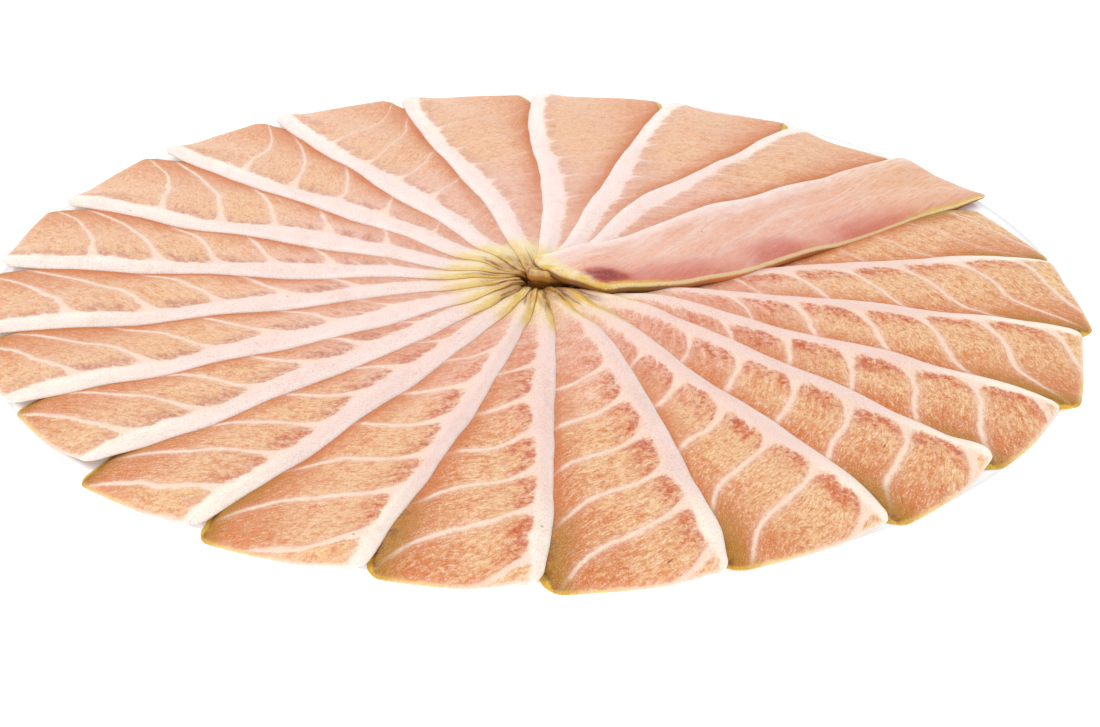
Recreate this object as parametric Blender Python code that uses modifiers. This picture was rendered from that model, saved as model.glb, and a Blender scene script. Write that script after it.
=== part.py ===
"""Smoked tuna carpaccio: thin slices fanned like a pinwheel on a flat plate.

Metres, +Z up. The origin is the centre of the plate's flat base, and the
diner's side, from which the rosette is usually seen, is -Y.

The rosette is laid from the last slice to the first. Each slice has a
straight fat edge and a bowed smoked edge, and points from the hub to the
plate's rim. Its fat edge lies on the next slice, counting counter-clockwise,
and slice 0, laid last, lies on both its neighbours.
"""

import math

import bmesh
import bpy
import numpy as np

# Plate
PLATE_RADIUS = 0.135
FOOT_RADIUS = 0.084
WELL_RADIUS = 0.098
WELL_TOP = 0.0090
LIP_TOP = 0.0105
LIP_THICKNESS = 0.0026
FOOT_HEIGHT = 0.0022
BASE_BEVEL = 0.0006
PLATE_SIDES = 56

# Slices
SLICE_COUNT = 22
THICKNESS = 0.0011
HUB_THICKNESS = 0.0005   # where the inner tips press on each other
EDGE_THICKNESS = 0.0006  # at the outline
EDGE_TAPER = 0.10        # share of the width over which it thins
CLEARANCE = 0.0005       # between a slice and what it lies on
PRESSED_RADIUS = 0.030   # of the pressed part round the tips
ROSETTE_CENTRE = np.array([0.0, -0.0038])  # of the circle that the outer ends follow
HUB = np.array([0.0046, -0.0106])          # the fat edges pass it at one distance
TIP_CENTRE = np.array([0.0000, -0.0065])  # where the inner tips gather
GATHER_RADIUS = 0.045    # distance from the hub within which they turn to it

# Where each smoked nose ends, degrees round the rosette's centre from +X
NOSE_DEG = (25.0, 40.5, 56.5, 74.0, 92.0, 109.5, 127.0, 144.0, 162.0, 179.0, 195.5,
            211.0, 226.0, 241.0, 257.0, 272.0, 288.0, 305.0, 319.5, 334.0, 350.5, 368.5)
# Reach of each fat edge from the rosette's centre, in plate radii
REACH = (0.998, 0.975, 0.998, 1.000, 1.000, 1.004, 1.000, 1.000, 1.000, 0.990, 0.985,
         0.968, 0.985, 0.990, 0.988, 0.992, 0.972, 0.970, 0.982, 0.985, 0.986, 0.965)
# How far each nose stands out past the curve of its fat corner
NOSE_REACH = (0.0036, 0.0028, 0.0028, 0.0028, 0.0028, 0.0030, 0.0026, 0.0030, 0.0026, 0.0026,
              0.0026, 0.0016, 0.0018, 0.0013, 0.0000, 0.0014, 0.0014, 0.0015, -0.0010, 0.0034,
              0.0036, 0.0050)
# How far each slice sways counter-clockwise between the hub and the rim
SWAY = (0.0020, 0.0035, -0.0005, -0.0030, -0.0015, 0.0005, 0.0005, 0.0008, 0.0008, 0.0003,
        0.0022, 0.0006, 0.0, 0.0, -0.0020, 0.0012, -0.0024, 0.0, -0.0008, -0.0004, 0.0005,
        0.0)
SWAY_LENGTH = 0.85       # share of the slice's length

# Outline of a slice, in its own frame: x from the hub to the rim, y counter-clockwise
FAT_OFFSET = 0.0052      # from the line through the hub to the fat edge
FAT_GAP_DEG = 0.6        # between the end of a fat edge and the next slice's nose
FAT_INNER_BEND = 0.0044  # how far the fat edge curves in towards the hub
FAT_INNER_START = 0.067  # distance from the hub where that curve starts
FAT_OUTER_BEND = 0.0012  # how far it curves back at the rim
FAT_OUTER_START = 0.80   # where that curve starts, in lengths of the slice
BOW = 1.10               # greatest width of the smoked side, in widths at the nose
BOW_PLACE = 0.60         # where it is, in lengths of the slice
BOW_POWER = 2.2
TIP_WIDTH = 0.0040       # width of the smoked side at the inner tip
TIP_DEPTH = 0.0030       # how far the tip's corners are rounded back
TIP_START = (0.0024, 0.0056)  # nearest and farthest inner tips from the hub
NOSE_RADIUS = 0.0030
NOSE_POWER = 1.5
FAT_CORNER_RADIUS = 0.0030

# Inner tips that reach across the pit between the others: the lowest, and the last ones laid
LONG_TIPS = {0: -0.0010, 1: -0.0055, 2: -0.0050, 3: -0.0035, 21: -0.0060}
BRIDGES = 4              # the last slices laid cross it on top, each on the one before
BRIDGE_HEIGHT = 0.0094   # of slice 0 over the well, above the pit
BRIDGE_RADIUS = 0.034
BRIDGE_BLEND = 0.0007

# Slice 0, on top of the pile, has a full round inner end and an arched back
TOP_TIP_WIDTH = 0.0170
TOP_TIP_DEPTH = 0.0060
TOP_BOW = 0.95
TOP_BOW_PLACE = 0.45
TOP_HEIGHT = 0.0098      # of its back over the well, at the hub
TOP_LENGTH = 0.115       # distance from the hub at which it lies flat again
TOP_CROWN = 0.0016       # how far its edges turn down
TOP_RIPPLE = 0.0007      # of its bare smoked edge
TOP_RIPPLES = 6.5
TOP_CLEARANCE = 0.00020  # more room under it, as it lies over both neighbours' edges

# How a slice lies over a covered edge, at the hub and in the open fan: it keeps its
# height for the shoulder's length past the edge, and comes down a layer over the fall
SHOULDER = (0.0006, 0.0032)
FALL = (0.0028, 0.0120)
OPEN_RADIUS = 0.050      # distance from the hub where the open fan starts
WAVE_HEIGHT = 0.00030
WAVE_LENGTH = 0.043

# The pile swells between the hub and the rim, where soft slices lie loosely on each other
PILE_RISE = 0.0021
PILE_INNER = (0.018, 0.040)  # distances from the rosette's centre between which it rises
PILE_OUTER = (0.107, 0.134)  # and between which it falls

# Fat corners that curl up off the plate, and how high
CURL = {6: 0.0008, 11: 0.0008, 17: 0.0026, 19: 0.0007}
CURL_LENGTH = 0.10       # share of the slice's length that curls
CURL_START = 0.72        # where across the slice the curl starts

# Rows of the sheets, closer together towards the ends and the edges
ROWS_ALONG = (0.0, 0.02, 0.045, 0.075, 0.11, 0.15, 0.20, 0.27, 0.35, 0.44, 0.53, 0.62,
              0.71, 0.80, 0.88, 0.94, 0.98, 1.0)
ROWS_ACROSS = (0.0, 0.05, 0.16, 0.36, 0.60, 0.82, 0.95, 1.0)
OUTLINE_STEPS = 24

PLATE_COLOUR = (0.90, 0.90, 0.91)
FLESH_COLOUR = (0.78, 0.42, 0.27)
FLESH_TONE = 0.05


def smooth(t):
    """Zero below 0, one above 1, with level ends."""
    t = np.clip(t, 0.0, 1.0)
    return t * t * (3.0 - 2.0 * t)


def spread(index, low, high):
    """A steady but uneven value for one slice, between two limits."""
    return low + (high - low) * (0.5 + 0.5 * math.sin(2.4 * index + 1.3 * math.sin(1.7 * index)))


def plate_top(radius):
    """Height of the plate's upper face."""
    rise = smooth((radius - WELL_RADIUS) / (PLATE_RADIUS - WELL_RADIUS))
    return WELL_TOP + (LIP_TOP - WELL_TOP) * rise


def slice_axes(index):
    """Unit vectors along and across a slice, whose fat edge ends just short of the next nose."""
    rim_angle = math.radians(NOSE_DEG[(index + 1) % SLICE_COUNT] - FAT_GAP_DEG)
    rim_way = np.array([math.cos(rim_angle), math.sin(rim_angle)])
    end = ROSETTE_CENTRE + PLATE_RADIUS * REACH[index] * rim_way - HUB
    offset = (FAT_OFFSET - FAT_OUTER_BEND) / math.hypot(*end)
    angle = math.atan2(end[1], end[0]) - math.asin(offset)
    along = np.array([math.cos(angle), math.sin(angle)])
    across = np.array([-math.sin(angle), math.cos(angle)])
    return along, across


def rim_distance(index, y, reach):
    """Distance along a slice, at y, to a circle round the rosette's centre."""
    along, across = slice_axes(index)
    start = HUB + y[:, None] * across - ROSETTE_CENTRE
    middle = -(start @ along)
    return middle + np.sqrt(np.maximum(reach**2 - (start**2).sum(axis=1) + middle**2, 0.0))


def nose_place(index):
    """The smoked nose's place in the slice's own frame."""
    along, across = slice_axes(index)
    angle = math.radians(NOSE_DEG[index])
    nose = ROSETTE_CENTRE + PLATE_RADIUS * np.array([math.cos(angle), math.sin(angle)]) - HUB
    return nose @ along, nose @ across


def inner_start(index):
    """Distance from the hub to the inner tip."""
    return LONG_TIPS.get(index, spread(index, *TIP_START))


def fat_edge(index, x):
    """Y of the fat edge at a distance from the hub."""
    length, _ = nose_place(index)
    inner_bend = 0.0 if index == 0 else FAT_INNER_BEND
    inner = np.maximum(0.0, 1.0 - x / FAT_INNER_START)
    outer = np.maximum(0.0, (x / length - FAT_OUTER_START) / (1.0 - FAT_OUTER_START))
    return FAT_OFFSET - inner_bend * inner**2 - FAT_OUTER_BEND * outer**2


def smoked_edge(index, x):
    """Y of the smoked edge: narrow at the tip, bowed in the middle, straight to the nose."""
    length, nose = nose_place(index)
    start = inner_start(index)
    tip = TOP_TIP_WIDTH if index == 0 else TIP_WIDTH
    bow_place = TOP_BOW_PLACE if index == 0 else BOW_PLACE
    bow = nose * (TOP_BOW if index == 0 else BOW)
    inner = np.clip((x - start) / (bow_place * length - start), 0.0, 1.0)
    outer = np.clip((x / length - bow_place) / (1.0 - bow_place), 0.0, 1.0)
    return -tip + (bow + tip) * (1.0 - (1.0 - inner) ** BOW_POWER) + (nose - bow) * outer**2


def plan(index, u, v):
    """Plan of points on a slice: u from the hub to the rim, v from smoked to fat edge."""
    length, nose = nose_place(index)
    width = FAT_OFFSET - nose
    outer = rim_distance(index, nose + width * v, PLATE_RADIUS * REACH[index])
    outer = outer + NOSE_REACH[index] * (1.0 - v) ** NOSE_POWER
    for distance, radius in ((v * width, NOSE_RADIUS), ((1.0 - v) * width, FAT_CORNER_RADIUS)):
        past = np.clip(1.0 - distance / radius, 0.0, 1.0)
        outer = outer - radius * (1.0 - np.sqrt(1.0 - past**2))
    depth = TOP_TIP_DEPTH if index == 0 else TIP_DEPTH
    inner = inner_start(index) + depth * (1.0 - np.sqrt(1.0 - (2.0 * v - 1.0) ** 2))
    x = inner + (outer - inner) * u
    smoked = smoked_edge(index, x)
    y = smoked + (fat_edge(index, x) - smoked) * v
    y = y + SWAY[index] * np.sin(math.pi * np.clip(x / (SWAY_LENGTH * length), 0.0, 1.0)) ** 2
    along, across = slice_axes(index)
    gather = np.clip(1.0 - x / GATHER_RADIUS, 0.0, 1.0) ** 2
    return HUB + x[:, None] * along + y[:, None] * across + gather[:, None] * (TIP_CENTRE - HUB)


def outline(index):
    """Closed outline of a slice in plan."""
    run = np.linspace(0.0, 1.0, OUTLINE_STEPS, endpoint=False)
    zero = np.zeros_like(run)
    u = np.concatenate([run, zero + 1.0, 1.0 - run, zero])
    v = np.concatenate([zero, run, zero + 1.0, 1.0 - run])
    return plan(index, u, v)


def outside_distance(points, polygon):
    """Distance from points to a polygon, and zero for points inside it."""
    start = polygon[None, :, :]
    edge = np.roll(polygon, -1, axis=0)[None, :, :] - start
    to_point = points[:, None, :] - start
    share = (to_point * edge).sum(axis=2) / np.maximum((edge**2).sum(axis=2), 1e-12)
    away = to_point - np.clip(share, 0.0, 1.0)[:, :, None] * edge
    distance = np.sqrt((away**2).sum(axis=2).min(axis=1))
    y = points[:, None, 1]
    low = start[:, :, 1]
    high = low + edge[:, :, 1]
    crosses = (low > y) != (high > y)
    at = start[:, :, 0] + (y - low) / np.where(crosses, high - low, 1.0) * edge[:, :, 0]
    inside = (crosses & (points[:, None, 0] < at)).sum(axis=1) % 2 == 1
    return np.where(inside, 0.0, distance)


def thickness_at(points):
    """Full thickness of the slices, less where they press on each other round the tips."""
    away = np.hypot(points[:, 0] - TIP_CENTRE[0], points[:, 1] - TIP_CENTRE[1])
    return HUB_THICKNESS + (THICKNESS - HUB_THICKNESS) * smooth(away / PRESSED_RADIUS)


def raised_to(level, z):
    """The higher of two surfaces, with a soft change from one to the other."""
    return z + BRIDGE_BLEND * np.log1p(np.exp((level - z) / BRIDGE_BLEND))


def bridge(index, points, layer):
    """Height at which one of the last slices crosses the pit."""
    away = np.hypot(points[:, 0] - TIP_CENTRE[0], points[:, 1] - TIP_CENTRE[1])
    return WELL_TOP + BRIDGE_HEIGHT * (1.0 - smooth(away / BRIDGE_RADIUS)) - index * layer


def arch(u, v, points):
    """Height of the top slice's arched back, with its rippled smoked edge."""
    along, _ = slice_axes(0)
    fade = 1.0 - smooth((points - HUB) @ along / TOP_LENGTH)
    ripple = TOP_RIPPLE * np.sin(2.0 * math.pi * TOP_RIPPLES * u) * (1.0 - v) ** 3
    return WELL_TOP + fade * (TOP_HEIGHT - TOP_CROWN * (2.0 * v - 1.0) ** 2) + ripple


def heights(index, u, v, points, outlines):
    """Height of a slice's under side: the plate, and a layer for each slice beneath."""
    away = np.hypot(points[:, 0] - ROSETTE_CENTRE[0], points[:, 1] - ROSETTE_CENTRE[1])
    risen = smooth((away - PILE_INNER[0]) / (PILE_INNER[1] - PILE_INNER[0]))
    fallen = smooth((away - PILE_OUTER[0]) / (PILE_OUTER[1] - PILE_OUTER[0]))
    turn = points @ np.array([[0.8, -0.6], [0.6, 0.8]]) / WAVE_LENGTH * 2.0 * math.pi
    wave = WAVE_HEIGHT * (1.0 + 0.5 * np.sin(turn[:, 0]) + 0.5 * np.sin(turn[:, 1] + 1.0))
    z = plate_top(np.hypot(points[:, 0], points[:, 1])) + CLEARANCE + wave
    z = z + PILE_RISE * (risen - fallen)
    from_hub = np.hypot(points[:, 0] - HUB[0], points[:, 1] - HUB[1])
    openness = np.clip(from_hub / OPEN_RADIUS, 0.0, 1.0)
    shoulder = SHOULDER[0] + (SHOULDER[1] - SHOULDER[0]) * openness
    fall = FALL[0] + (FALL[1] - FALL[0]) * openness
    layer = thickness_at(points) + CLEARANCE
    for lower in range(index + 1, SLICE_COUNT):
        gap = outside_distance(points, outlines[lower])
        z = z + layer * (1.0 - smooth((gap - shoulder) / fall))
    if index < BRIDGES:
        z = raised_to(bridge(index, points, layer), z)
    if index == 0:
        z = raised_to(arch(u, v, points), z + TOP_CLEARANCE)
    if index in CURL:
        near_rim = smooth(1.0 - (1.0 - u) / CURL_LENGTH)
        near_corner = smooth((v - CURL_START) / (1.0 - CURL_START))
        z = z + CURL[index] * near_rim * near_corner
    return z


def tapered(thickness, u, v):
    """Thickness of a slice, less towards its outline."""
    inward = np.minimum(np.minimum(v, 1.0 - v), np.minimum(u, 1.0 - u))
    return EDGE_THICKNESS + (thickness - EDGE_THICKNESS) * smooth(inward / EDGE_TAPER)


def new_material(name, colour, roughness):
    """A plain finish for one piece."""
    material = bpy.data.materials.new(name)
    material.use_nodes = True
    shader = material.node_tree.nodes["Principled BSDF"]
    shader.inputs["Base Color"].default_value = (*colour, 1.0)
    shader.inputs["Roughness"].default_value = roughness
    shader.inputs["Metallic"].default_value = 0.0
    return material


def add_object(name, mesh, material, collection):
    """Put a mesh in the collection with its own material."""
    mesh.materials.append(material)
    item = bpy.data.objects.new(name, mesh)
    collection.objects.link(item)
    return item


def build_plate(collection):
    """A flat white plate with a thin lip: a profile turned about its centre line."""
    slope = np.linspace(WELL_RADIUS, PLATE_RADIUS, 6)[1:-1]
    profile = [(0.0, WELL_TOP), (WELL_RADIUS, WELL_TOP)]
    profile += [(float(radius), float(plate_top(radius))) for radius in slope]
    profile += [
        (PLATE_RADIUS - 0.25 * LIP_THICKNESS, LIP_TOP),
        (PLATE_RADIUS, LIP_TOP - 0.4 * LIP_THICKNESS),
        (PLATE_RADIUS - 0.25 * LIP_THICKNESS, LIP_TOP - LIP_THICKNESS),
        (FOOT_RADIUS + FOOT_HEIGHT, FOOT_HEIGHT),
        (FOOT_RADIUS, BASE_BEVEL),
        (FOOT_RADIUS - BASE_BEVEL, 0.0),
        (0.0, 0.0),
    ]
    mesh = bpy.data.meshes.new("plate")
    corners = [(radius, 0.0, z) for radius, z in profile]
    mesh.from_pydata(corners, [(k, k + 1) for k in range(len(corners) - 1)], [])
    plate = add_object("plate", mesh, new_material("plate_glaze", PLATE_COLOUR, 0.2), collection)
    turned = plate.modifiers.new("turned", "SCREW")
    turned.axis = "Z"
    turned.steps = PLATE_SIDES
    turned.render_steps = PLATE_SIDES
    turned.use_merge_vertices = True
    turned.merge_threshold = 0.00005
    turned.use_smooth_shade = True


def build_slice(index, outlines, collection):
    """One slice: a sheet bent over what lies under it, then raised to its thickness."""
    name = f"slice_{index:02d}"
    along, across = len(ROWS_ALONG) - 1, len(ROWS_ACROSS) - 1
    sheet = bmesh.new()
    bmesh.ops.create_grid(sheet, x_segments=along, y_segments=across, size=0.5)
    flat = np.array([vertex.co[:2] for vertex in sheet.verts]) + 0.5
    u = np.array(ROWS_ALONG)[np.rint(flat[:, 0] * along).astype(int)]
    v = np.array(ROWS_ACROSS)[np.rint(flat[:, 1] * across).astype(int)]
    points = plan(index, u, v)
    lower = heights(index, u, v, points, outlines)
    upper = lower + tapered(thickness_at(points), u, v)
    for vertex, point, height in zip(sheet.verts, points, lower):
        vertex.co = (point[0], point[1], height)
    top_of = {vertex.co.copy().freeze(): float(z) for vertex, z in zip(sheet.verts, upper)}
    bmesh.ops.triangulate(sheet, faces=sheet.faces[:], quad_method="SHORT_EDGE")
    raised = bmesh.ops.extrude_face_region(sheet, geom=sheet.faces[:], use_keep_orig=True)
    for vertex in (item for item in raised["geom"] if isinstance(item, bmesh.types.BMVert)):
        vertex.co.z = top_of[vertex.co.copy().freeze()]
    bmesh.ops.recalc_face_normals(sheet, faces=sheet.faces[:])
    mesh = bpy.data.meshes.new(name)
    sheet.to_mesh(mesh)
    sheet.free()
    mesh.shade_smooth()
    tone = 1.0 + spread(index + 3, -FLESH_TONE, FLESH_TONE)
    colour = tuple(channel * tone for channel in FLESH_COLOUR)
    add_object(name, mesh, new_material(f"flesh_{index:02d}", colour, 0.35), collection)


def main():
    """Build the plate and the rosette."""
    for item in list(bpy.data.objects):
        bpy.data.objects.remove(item, do_unlink=True)
    collection = bpy.data.collections.new("smoked_tuna_carpaccio")
    bpy.context.scene.collection.children.link(collection)
    build_plate(collection)
    outlines = [outline(index) for index in range(SLICE_COUNT)]
    for index in range(SLICE_COUNT):
        build_slice(index, outlines, collection)


main()
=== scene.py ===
"""Looks for a plate of smoked tuna carpaccio: thin slices fanned on a white plate.

Sizes are in metres in the frame's own space: +Z up, the centre of the plate's base
at the origin, and the diner on the -Y side. Patterns inside a slice are worked out
in millimetres along the slice and in from its fat edge.
"""

import math
from types import SimpleNamespace

import bmesh
import bpy
import numpy as np
from bpy.props import FloatProperty, FloatVectorProperty, IntProperty, PointerProperty
from mathutils import Matrix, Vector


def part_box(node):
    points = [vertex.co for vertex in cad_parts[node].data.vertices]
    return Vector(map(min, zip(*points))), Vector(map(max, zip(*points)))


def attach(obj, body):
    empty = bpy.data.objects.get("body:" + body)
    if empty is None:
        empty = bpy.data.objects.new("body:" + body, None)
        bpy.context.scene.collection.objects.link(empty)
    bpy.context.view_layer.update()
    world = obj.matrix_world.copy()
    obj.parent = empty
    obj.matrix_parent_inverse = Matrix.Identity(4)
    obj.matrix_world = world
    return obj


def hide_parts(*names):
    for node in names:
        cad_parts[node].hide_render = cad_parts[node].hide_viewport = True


bl_info = {
    "name": "Carpaccio Plate",
    "version": (1, 0, 0),
    "blender": (4, 5, 0),
    "location": "View3D > Sidebar > Carpaccio",
    "description": "Builds a rosette of thin smoked fish slices on a plate",
    "category": "Add Mesh",
}

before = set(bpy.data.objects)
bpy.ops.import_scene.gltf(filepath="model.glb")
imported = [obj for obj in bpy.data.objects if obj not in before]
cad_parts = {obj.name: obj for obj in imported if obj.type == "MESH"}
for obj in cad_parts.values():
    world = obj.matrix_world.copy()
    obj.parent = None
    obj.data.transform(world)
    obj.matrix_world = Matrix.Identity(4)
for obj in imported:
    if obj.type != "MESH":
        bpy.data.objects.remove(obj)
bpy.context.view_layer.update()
PLATE_LOW, PLATE_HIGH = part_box("plate")
MM = 0.001

# Layout of the rosette
SLICE_COUNT = 22
ROSETTE_CENTRE = np.array([0.0, -0.0038])  # of the circle that the outer ends follow
HUB = np.array([0.0046, -0.0106])          # the fat edges pass it at one distance
TIP_CENTRE = np.array([0.0000, -0.0065])   # where the inner tips gather
GATHER_RADIUS = 0.045    # distance from the hub within which they turn to it
# Where each smoked nose ends, degrees round the rosette's centre from +X
NOSE_DEG = (25.0, 40.5, 56.5, 74.0, 92.0, 109.5, 127.0, 144.0, 162.0, 179.0, 195.5,
            211.0, 226.0, 241.0, 257.0, 272.0, 288.0, 305.0, 319.5, 334.0, 350.5, 368.5)
# Reach of each fat edge from the rosette's centre, in plate radii
REACH = (0.998, 0.975, 0.998, 1.000, 1.000, 1.004, 1.000, 1.000, 1.000, 0.990, 0.985,
         0.968, 0.985, 0.990, 0.988, 0.992, 0.972, 0.970, 0.982, 0.985, 0.986, 0.965)
# How far each nose stands out past the curve of its fat corner
NOSE_REACH = (0.0036, 0.0028, 0.0028, 0.0028, 0.0028, 0.0030, 0.0026, 0.0030, 0.0026, 0.0026,
              0.0026, 0.0016, 0.0018, 0.0013, 0.0000, 0.0014, 0.0014, 0.0015, -0.0010, 0.0034,
              0.0036, 0.0050)
# How far each slice sways counter-clockwise between the hub and the rim
SWAY = (0.0020, 0.0035, -0.0005, -0.0030, -0.0015, 0.0005, 0.0005, 0.0008, 0.0008, 0.0003,
        0.0022, 0.0006, 0.0, 0.0, -0.0020, 0.0012, -0.0024, 0.0, -0.0008, -0.0004, 0.0005,
        0.0)
SWAY_LENGTH = 0.85

# Outline of a slice, in its own frame: x from the hub to the rim, y counter-clockwise
FAT_OFFSET = 0.0052      # of the straight part of the fat edge
FAT_GAP_DEG = 0.6        # between the end of a fat edge and the next nose
FAT_INNER_BEND, FAT_INNER_START = 0.0044, 0.067  # how the fat edge bends in near the hub
FAT_OUTER_BEND, FAT_OUTER_START = 0.0012, 0.80   # and near the rim, from a share of the length
BOW, BOW_PLACE, BOW_POWER = 1.10, 0.60, 2.2      # of the smoked edge
TIP_WIDTH, TIP_DEPTH = 0.0040, 0.0030
TIP_START = (0.0024, 0.0056)  # least and greatest distance of the tips from the hub
NOSE_RADIUS, NOSE_POWER = 0.0030, 1.5
FAT_CORNER_RADIUS = 0.0030
LONG_TIPS = {0: -0.0010, 1: -0.0055, 2: -0.0050, 3: -0.0035, 21: -0.0060}  # past the hub
OUTLINE_STEPS = 24       # on each side

# The slice that lies on both its neighbours
TOP_TIP_WIDTH, TOP_TIP_DEPTH = 0.0170, 0.0060
TOP_BOW, TOP_BOW_PLACE = 0.95, 0.45
TOP_HEIGHT, TOP_LENGTH, TOP_CROWN = 0.0098, 0.115, 0.0016  # of the arch that it makes
TOP_RIPPLE, TOP_RIPPLES = 0.0007, 6.5  # waves of its smoked edge
TOP_CLEARANCE = 0.00020

# Heights of the pile
WELL_RADIUS, WELL_TOP = 0.098, 0.0090  # of the plate's flat middle
SHOULDER, FALL = (0.0006, 0.0032), (0.0028, 0.0120)  # how slices come down, at hub and rim
OPEN_RADIUS = 0.050      # from here on they come down as at the rim
BRIDGES, BRIDGE_HEIGHT, BRIDGE_RADIUS, BRIDGE_BLEND = 4, 0.0094, 0.034, 0.0007  # last slices
WAVE_HEIGHT, WAVE_LENGTH = 0.00030, 0.043
WAVE_AXES = np.array([[0.8, -0.6], [0.6, 0.8]])
CURL = {6: 0.0008, 11: 0.0008, 17: 0.0026, 19: 0.0007}  # how far a fat corner turns up
CURL_LENGTH, CURL_START = 0.10, 0.72
PILE_RISE = 0.0021       # how far the pile swells over the plate between hub and rim
PILE_INNER, PILE_OUTER = (0.018, 0.040), (0.107, 0.134)  # where it rises and where it falls
HUB_RING, RING_RADIUS, RING_WIDTH = 0.0011, 0.0150, 0.0060  # low ridge round the tips

# Where the pale membranes between the muscle segments meet the fat band, in mm from the
# hub, each slice's own shift, and how they run outwards from there to the smoked edge
MEMBRANES = (148.0, 117.6, 100.2, 85.3, 70.7, 55.5, 41.0, 28.0, 16.0, 4.0)
MEMBRANE_SHIFT = (0.0, -3.5, -3.0, -5.7, -8.0, -5.4, -5.5, -3.9, -1.0, -0.9, 1.1,
                  0.0, 1.6, 1.6, 4.2, 4.7, 1.5, 2.3, 4.9, 2.7, 2.4, 2.2)
MEMBRANE_SLOPE, MEMBRANE_CURVE = 0.36, 0.0085
# How much stronger than elsewhere the curve is on these slices
MEMBRANE_LEAN = {5: 1.9, 6: 2.2, 7: 2.1, 8: 2.1, 9: 2.2, 10: 2.1, 11: 1.6, 12: 1.4}
LONG_SEGMENTS = {5: 1.15, 6: 1.15, 7: 1.10, 9: 1.12}  # and how much longer the segments
MEMBRANE_SWING, MEMBRANE_SWING_LENGTH = 1.6, 28.0
RIM_SLOPE_LOSS, RIM_START, RIM_LENGTH = 0.38, 100.0, 14.0  # the last one hugs the rim
RIM_SLOPE_GAIN, SLANTED = 0.03, range(13, 20)  # but on these slices it slants to the rim
SEGMENT_LENGTH = 15.0    # between two membranes, in mm
LOBULES = 3.0            # small lobes of a segment along the fat band
BAND_WIDTH = (5.0, 6.6, 6.0, 5.6, 5.2, 5.4, 5.6, 5.6, 5.4, 5.2, 4.8,
              4.7, 4.8, 4.4, 4.4, 4.5, 4.9, 5.2, 5.4, 5.4, 5.6, 5.6)  # fat bands, in mm
# How pale and pink each slice's flesh is, and how plainly its membranes show, 0 to 1; the paleness
# is partly the flesh's own colour and partly painted light on the brighter far and left slices
PALENESS = (0.8, 0.9, 1.0, 1.0, 1.0, 1.0, 0.9, 0.85, 0.75, 0.7, 0.6,
            0.5, 0.35, 0.25, 0.05, 0.0, 0.0, 0.0, 0.0, 0.0, 0.05, 0.2)
CLEARNESS = (0.0, 0.15, 0.15, 0.2, 0.3, 0.6, 0.85, 1.0, 1.0, 1.0, 1.0,
             1.0, 1.0, 1.0, 1.0, 1.0, 1.0, 1.0, 1.0, 1.0, 0.9, 0.5)
SHARE_SEEN = 0.88        # of a segment's length, square to its slanting membranes
DISTANCES = ("place", "reach", "kind", "look")  # what a slice stores for its patterns
RELIEF = {"Fat Rise": "fat_rise", "Segment Rise": "dome_rise",
          "Unevenness": "lump_rise", "Fibre Height": "fibre_rise"}  # inputs and settings

# Edges of the slices
PRESSED_RADIUS = 0.030   # of the pressed part round the tips
EDGE_TAPER = 0.08        # share of the width over which a slice thins
DROP_WIDTH, TUCK_WIDTH = 0.0030, 0.0018  # of the edge that sinks, and of its tucked under side
SKIRT_END, SKIRT_SIDE = 0.006, 0.005     # width of the deeper under side, at the tip and side
SKIRT_REACH, TOP_SKIRT_REACH, SKIRT_FADE = 0.050, 0.105, 0.030  # how far out that side goes
BRIDGE_SKIRT, LOW_SKIRT = 1.5, 0.5  # its share of the full depth at the tips
WAVER_WAVES = ((1.9, 1.0, 0.5), (4.3, 2.0, 0.8), (9.7, 0.7, 1.0))  # mm, turn and height
WAVER_TURN, WAVER_ZONE, WAVER_CALM = 2.1, 0.004, (0.02, 0.01)  # calm at the tip and the rim
RIGHT_SLICES, RIGHT_START, RIGHT_LENGTH = range(15, 22), 50.0, 40.0  # places in mm
EDGE_SPREAD = {10: 0.8, 11: 0.9, 13: -0.7}  # how far a fat edge stands out all along, in mm

# Profile of the plate: the rounded lip, and the steps of the slope up to it
LIP_TURN_DEG, LIP_STEPS, LIP_START, SLOPE_STEPS = 80.0, 9, 0.4, 14

# Painted brown shade on the glaze in the pit under the tips, and clouds in the glaze to a metre
PIT_SHADE_INNER, PIT_SHADE_OUTER, PIT_SHADE_HEIGHT, CLOUDS = 0.007, 0.014, (0.004, 0.006), 60.0

# Lamps: name, place, width and the setting with its power
LAMPS = (("back_light", (-0.25, 0.75, 0.85), 0.9, "back_power"),
         ("side_light", (-0.8, -0.5, 0.7), 0.7, "side_power"),
         ("front_light", (0.15, -0.95, 0.22), 0.9, "front_power"))


def linear(*levels):
    """Scene-linear colour from display levels out of 255."""
    shares = [level / 255.0 for level in levels]
    return tuple(s / 12.92 if s <= 0.04045 else ((s + 0.055) / 1.055) ** 2.4 for s in shares)


def colour(name, description, *levels):
    """A colour property given in display levels."""
    return FloatVectorProperty(name=name, description=description, subtype="COLOR",
                               size=3, min=0.0, max=1.0, default=linear(*levels))


def length(name, description, default):
    """A length property in metres."""
    return FloatProperty(name=name, description=description, default=default,
                         min=0.0, unit="LENGTH", precision=5)


def number(name, description, default):
    """A plain number that isn't negative."""
    return FloatProperty(name=name, description=description, default=default, min=0.0)


def angle(name, description, degrees):
    """An angle property given in degrees."""
    return FloatProperty(name=name, description=description, subtype="ANGLE",
                         default=math.radians(degrees))


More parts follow.
